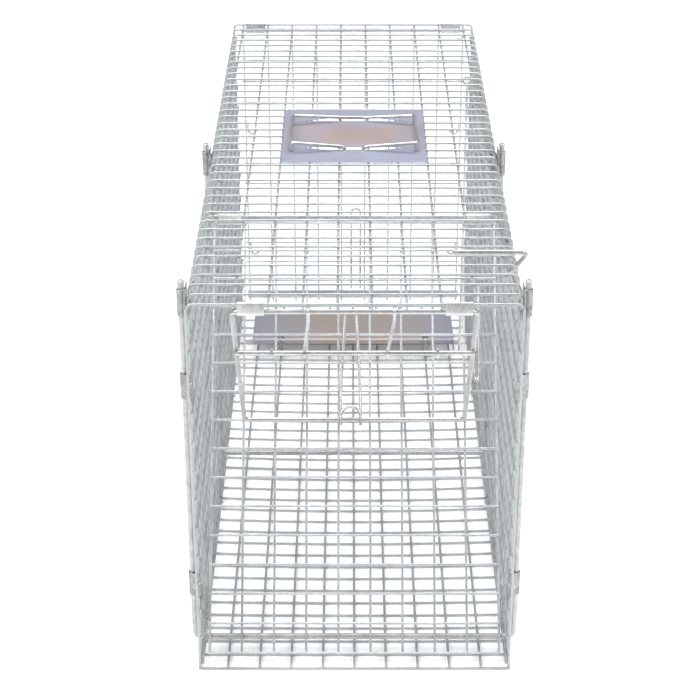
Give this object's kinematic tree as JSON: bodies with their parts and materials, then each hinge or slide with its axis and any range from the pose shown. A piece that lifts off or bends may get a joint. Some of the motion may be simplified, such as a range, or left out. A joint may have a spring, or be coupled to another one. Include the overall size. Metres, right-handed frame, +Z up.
{
  "type": "live catch trap",
  "caption": "Wire mesh live catch trap with a sloping gravity door, hinged lock frame, rear panel, treadle and trigger rod, and a carrying handle.",
  "frame": {"origin": "middle of the footprint, on the surface that the trap stands on", "axes": "+Z up, -Y towards the front, where the door is, and +X to the right seen from the front"},
  "size_m": [0.2676, 0.6848, 0.3366],
  "materials": {
    "cage_mesh": "dull hot-dip galvanised wire",
    "panel_mesh": "bright galvanised wire",
    "stiffening_rod": "dull galvanised rod",
    "rod_steel": "galvanised rod",
    "bright_wire": "bright zinc-plated wire",
    "keeper_steel": "dull galvanised sheet and wire",
    "sleeve_sheet": "bright rolled sheet",
    "hand_plate": "passivated zinc plate, bluish purple with a brown band",
    "treadle_sheet": "passivated zinc plate, brown in the middle and bluish at the ends",
    "rail_sheet": "galvanised sheet"
  },
  "bodies": {
    "cage": {"roof_cross_wires": "cage_mesh", "roof_long_wires": "cage_mesh", "left_wall_upright_wires": "cage_mesh", "left_wall_long_wires": "cage_mesh", "right_wall_upright_wires": "cage_mesh", "right_wall_long_wires": "cage_mesh", "corner_bends": "cage_mesh", "floor_cross_wires": "cage_mesh", "floor_long_wires": "cage_mesh", "floor_rings": "keeper_steel", "front_u_rod": "stiffening_rod", "mid_u_rod": "stiffening_rod", "front_rod_clamps": "keeper_steel", "mid_rod_clamps": "keeper_steel", "hand_plate": "hand_plate", "handle_wire": "bright_wire", "door_hinge_rod": "rod_steel", "lock_frame_sleeves": "sleeve_sheet", "rear_sleeves": "sleeve_sheet", "treadle_pivot_rod": "rod_steel", "treadle_clips": "keeper_steel", "trigger_guides": "keeper_steel"},
    "door": {"door_long_wires": "panel_mesh", "door_cross_wires": "panel_mesh", "door_sleeves": "sleeve_sheet", "door_catch": "bright_wire", "door_side_hook": "bright_wire"},
    "lock_frame": {"lock_frame": "rod_steel", "lock_frame_cross_rod": "rod_steel", "lock_frame_hangers": "rod_steel"},
    "rear_panel": {"rear_top_rod": "rod_steel", "rear_long_wires": "panel_mesh", "rear_cross_wires": "panel_mesh", "rear_bottom_rail": "rail_sheet", "rear_latch_hooks": "bright_wire", "bait_hook": "bright_wire"},
    "treadle": {"treadle_plate": "treadle_sheet"},
    "trigger_link": {"trigger_link": "rod_steel"},
    "trigger_rod": {"trigger_rod": "rod_steel"}
  },
  "joints": [
    {"name": "door_hinge", "type": "hinge", "parent": "cage", "child": "door", "pos_m": [0, -0.1165, 0.3], "axis": [-1, 0, 0], "range_deg": [0, 54]},
    {"name": "lock_frame_hinge", "type": "hinge", "parent": "cage", "child": "lock_frame", "pos_m": [0, -0.339, 0.3192], "axis": [-1, 0, 0], "range_deg": [0, 135]},
    {"name": "rear_panel_hinge", "type": "hinge", "parent": "cage", "child": "rear_panel", "pos_m": [0, 0.339, 0.3192], "axis": [1, 0, 0], "range_deg": [0, 100]},
    {"name": "treadle_pivot", "type": "hinge", "parent": "cage", "child": "treadle", "pos_m": [0, 0.212, 0.02], "axis": [-1, 0, 0], "range_deg": [0, 8]},
    {"name": "trigger_link_slide", "type": "slide", "parent": "cage", "child": "trigger_link", "axis": [0, 0, 1], "range_m": [0, 0.0033]},
    {"name": "trigger_rod_turn", "type": "hinge", "parent": "cage", "child": "trigger_rod", "pos_m": [0.1185, -0.26077, 0.314], "axis": [0, 1, 0], "range_deg": [0, 25]}
  ],
  "couplings": [
    {"joint": "lock_frame_hinge", "follows": "door_hinge", "ratio": 2.5},
    {"joint": "trigger_link_slide", "follows": "treadle_pivot", "m_per_rad": 0.023},
    {"joint": "trigger_rod_turn", "follows": "treadle_pivot", "ratio": 3.1}
  ]
}
